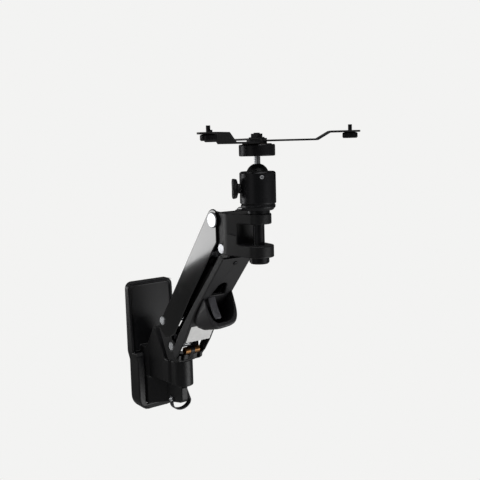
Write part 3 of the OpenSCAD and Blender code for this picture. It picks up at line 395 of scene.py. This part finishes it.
def add_cable_strap():
    """Nylon strap: a pad on the tab's side, a round loop and a free end that leans back."""
    low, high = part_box("cable_strap")
    (left, near, bottom), (right, far, top) = ([c / MM for c in corner] for corner in (low, high))
    half_thick = 0.8
    flatter = 3.2                # the loop is this much less deep than a half circle
    pad, pad_steps = 9.2, 8      # height of the pad above the loop, and its points
    lean, end_steps = 9.4, 8     # how far the free end leans over the loop, and its points
    r = (right - left) / 2 - half_thick
    sag = r - flatter
    mid_x, mid_y, mid_z = (left + right) / 2, (near + far) / 2, bottom + half_thick + sag
    line = [(mid_x - r, mid_z + pad * (1 - i / pad_steps)) for i in range(pad_steps)]
    for degrees in range(180, 361, 5):
        a = math.radians(degrees)
        line.append((mid_x + r * math.cos(a), mid_z + sag * math.sin(a)))
    line += [(mid_x + r - lean * k / end_steps, mid_z + (top - mid_z) * k / end_steps)
             for k in range(1, end_steps + 1)]
    rings = []
    for i, (x, z) in enumerate(line):
        ahead, behind = line[min(i + 1, len(line) - 1)], line[max(i - 1, 0)]
        along = Vector((ahead[0] - behind[0], ahead[1] - behind[1])).normalized()
        out_x, out_z = along.y * half_thick, -along.x * half_thick
        rings.append([((x + out_x * thick) * MM, (mid_y + across * (far - near) / 2) * MM,
                       (z + out_z * thick) * MM)
                      for across, thick in strip_section(corner=0.86, edge=0.5)])
    add_piece("cable_strap_band", skin(rings), nylon, "wall_bracket", "cable_strap")


# Rows of the knob outwards from its joint: reach and radius of its stem and collar, then reach and
# size of its wings, as a share of their full section.
STEM_ROWS = ((14, 3), (19.5, 3), (19.6, 5), (20.0, 5), (22.2, 5))
WING_ROWS = ((22.8, 0.80), (23.4, 0.93), (25.2, 0.98), (26.8, 1.0), (27.4, 0.96), (27.6, 0.88))
WING_HALF = 10.4                   # half the height over both wings
WAIST_HALF, WING_SWELL = 2.5, 1.9  # half the thickness at the middle, and what the tips add to it
SWELL_POWER, SQUARE_POWER = 1.5, 0.6  # how late the wings swell, and how square their sides are


def add_lock_knob():
    """Butterfly knob on its stem: two wings that widen outwards, pinched at the middle."""
    joint = JOINTS["knob_turn"]
    out = Vector(joint["axis"]).normalized()
    up = Vector((0, 0, 1))
    side = out.cross(up)
    root = Vector(joint["pos_m"])
    turns = [2 * math.pi * i / ARC_STEPS for i in range(ARC_STEPS)]

    def at(reach, across, height):
        return tuple(root + (out * reach + side * across + up * height) * MM)

    rings = [[at(reach, radius * math.cos(turn), radius * math.sin(turn)) for turn in turns]
             for reach, radius in STEM_ROWS]
    for reach, size in WING_ROWS:
        ring = []
        for turn in turns:
            thick = WAIST_HALF + WING_SWELL * abs(math.sin(turn)) ** SWELL_POWER
            across = thick * math.copysign(abs(math.cos(turn)) ** SQUARE_POWER, math.cos(turn))
            ring.append(at(reach, across * size, WING_HALF * math.sin(turn) * size))
        rings.append(ring)
    add_piece("wing_knob", skin(rings), moulded_abs, "lock_knob", "lock_knob")


# ---------------------------------------------------------------- the scene

add_camera()
add_studio()

# Gloss paint on an aluminium casting: deep black, with the faint orange peel of a sprayed coat.
gloss_paint = finish_of(
    "gloss_black_paint", ("#08080a", "#0d0d0f"), grain_mm=6, roughness=0.09, spread=0.02,
    pit_mm=3, depth_mm=0.004, sockets={"IOR": 1.5, "Coat Weight": 0.6, "Coat Roughness": 0.06})
# Satin powder coat on castings: fine pebbling that breaks up the highlights.
powder_coat = finish_of(
    "satin_powder_coat", ("#0c0c0e", "#151517"), grain_mm=2.5, roughness=0.44, spread=0.06,
    pit_mm=1.8, depth_mm=0.03, sockets={"IOR": 1.5, "Specular IOR Level": 0.36})
# The same coat with more matting agent, on the pressed cover under the arm: a flat dark grey.
matt_coat = finish_of(
    "matt_powder_coat", ("#161618", "#232325"), grain_mm=2.2, roughness=0.56, spread=0.06,
    pit_mm=1.6, depth_mm=0.035, sockets={"IOR": 1.5})
# Barrel-plated zinc on the two lower link pins: matt, so that it spreads the light it catches.
matt_zinc = finish_of(
    "barrel_plated_zinc", ("#c4c6c9", "#dddfe1"), grain_mm=1.4, roughness=0.5, spread=0.08,
    pit_mm=0.9, depth_mm=0.01, sockets={"Metallic": 1.0})
# Black oxide on small screws: dark grey with a thin sheen.
black_oxide = finish_of(
    "black_oxide_steel", ("#1b1b1d", "#29292c"), grain_mm=1.5, roughness=0.4, spread=0.08,
    sockets={"Metallic": 0.8})
# ABS moulding with a spark-eroded face: soft sheen, almost no grain at this distance.
moulded_abs = finish_of(
    "moulded_abs", ("#09090b", "#111114"), grain_mm=3, roughness=0.42, spread=0.05,
    pit_mm=1.6, depth_mm=0.02, sockets={"IOR": 1.53, "Specular IOR Level": 0.32})
# The hood's ABS is the same with a coarser spark face, so it looks greyer.
hood_abs = finish_of(
    "coarse_moulded_abs", ("#1d1c1f", "#2a292c"), grain_mm=2.4, roughness=0.48, spread=0.06,
    pit_mm=1.3, depth_mm=0.03, sockets={"IOR": 1.53})
# Anodised aluminium, turned: dark, with fine rings from the tool.
anodised = finish_of(
    "black_anodised_aluminium", ("#151517", "#222225"), grain_mm=2, roughness=0.36, spread=0.05,
    pit_mm=1.5, depth_mm=0.01, stretch=(1, 1, 8), sockets={"Metallic": 0.6})
# Nylon mouldings: a little greyer, waxy.
nylon = finish_of(
    "black_nylon", ("#2a2a2e", "#36363b"), grain_mm=3, roughness=0.45, spread=0.05,
    pit_mm=2, depth_mm=0.02, sockets={"IOR": 1.53})
# Zinc-plated steel: bright with a soft grey cast.
zinc = finish_of(
    "zinc_plated_steel", ("#a6a8ab", "#c3c5c8"), grain_mm=4, roughness=0.32, spread=0.06,
    sockets={"Metallic": 1.0})
# Nickel-plated pins and screws: polished.
nickel = finish_of(
    "nickel_plate", ("#9fa1a4", "#b9babd"), grain_mm=5, roughness=0.24, spread=0.04,
    sockets={"Metallic": 1.0})
# Drawn brass of the adjuster: dull, with brown tarnish in its grain.
brass = finish_of(
    "tarnished_brass", ("#6a4829", "#8d6a45"), grain_mm=2, roughness=0.42, spread=0.08,
    pit_mm=1.2, depth_mm=0.01, sockets={"Metallic": 1.0})
# Glass-filled nylon of the tongue: a mid grey, a little cloudy.
grey_nylon = finish_of(
    "grey_nylon", ("#4a4a4e", "#58585d"), grain_mm=2.5, roughness=0.5, spread=0.05,
    pit_mm=1.4, depth_mm=0.02, sockets={"IOR": 1.53})
# Ground steel of the spring's rod, coloured near black as painted shade for the inside of the arm
# where it sits.
steel_darkened_as_shade = finish_of(
    "steel_darkened_as_shade", ("#2c2d30", "#3a3b3f"), grain_mm=3, roughness=0.34, spread=0.06,
    sockets={"Metallic": 1.0})
# Cork rubber of the platform's pad: crumbs of cork in black rubber, brownish and dead matt.
rubber = finish_of(
    "cork_rubber", ("#1c1917", "#322b26"), grain_mm=1.6, roughness=0.8, spread=0.05,
    pit_mm=1.5, depth_mm=0.1)
# Polyester film of the blank label: white and smooth, with a dull shine.
film = finish_of(
    "white_polyester_label", ("#ececeb", "#f6f6f5"), grain_mm=8, roughness=0.4, spread=0.05)

# The finish of each material slot, and of the nodes that differ from their slot.
SLOT_FINISH = {
    "black_gloss": gloss_paint, "black_satin": powder_coat, "black_plastic": moulded_abs,
    "nylon": nylon, "steel": zinc, "chrome": nickel, "brass": brass, "rubber": rubber,
    "label": film,
}
NODE_FINISH = {
    # The spring's rod and trunnion pin get steel coloured near black: painted shade for the inside
    # of the arm.
    "gas_rod": steel_darkened_as_shade, "trunnion_pin": steel_darkened_as_shade, "lower_cover": matt_coat,
    "cover_screws": black_oxide, "base_upper_pin": matt_zinc, "base_lower_pin": matt_zinc,
    "set_screw": matt_zinc, "strap_screw": matt_zinc, "ball_housing": anodised,
    "platform_disc": anodised, "post_cap": anodised, "swivel_post": anodised,
    "near_thumb_screw": anodised, "right_thumb_screw": anodised, "back_thumb_screw": anodised,
}
# Width of the rounded edges: mouldings and castings are rounder than turned and sheet parts.
EDGE_WIDTH = {
    "wall_cover": 1.6, "swivel_bracket": 1.2, "upper_link": 1.2, "lower_cover": 1.2,
    "base_yoke": 1.0, "head_bracket": 1.0, "lower_link": 0.6, "ball_housing": 0.4,
    "platform_disc": 0.4, "near_arm": 0.3, "right_arm": 0.3, "back_arm": 0.3,
}

for part in frame["record"]["subparts"]:
    name = part["node"]
    finish = NODE_FINISH.get(name) or SLOT_FINISH[part["material_slot"]]
    NODES[name].data.materials.clear()
    NODES[name].data.materials.append(finish)
    if name in EDGE_WIDTH:
        soften(name, EDGE_WIDTH[name])

add_cable_hood()
add_hood_tongue()
add_cable_strap()
add_lock_knob()
add_floor()
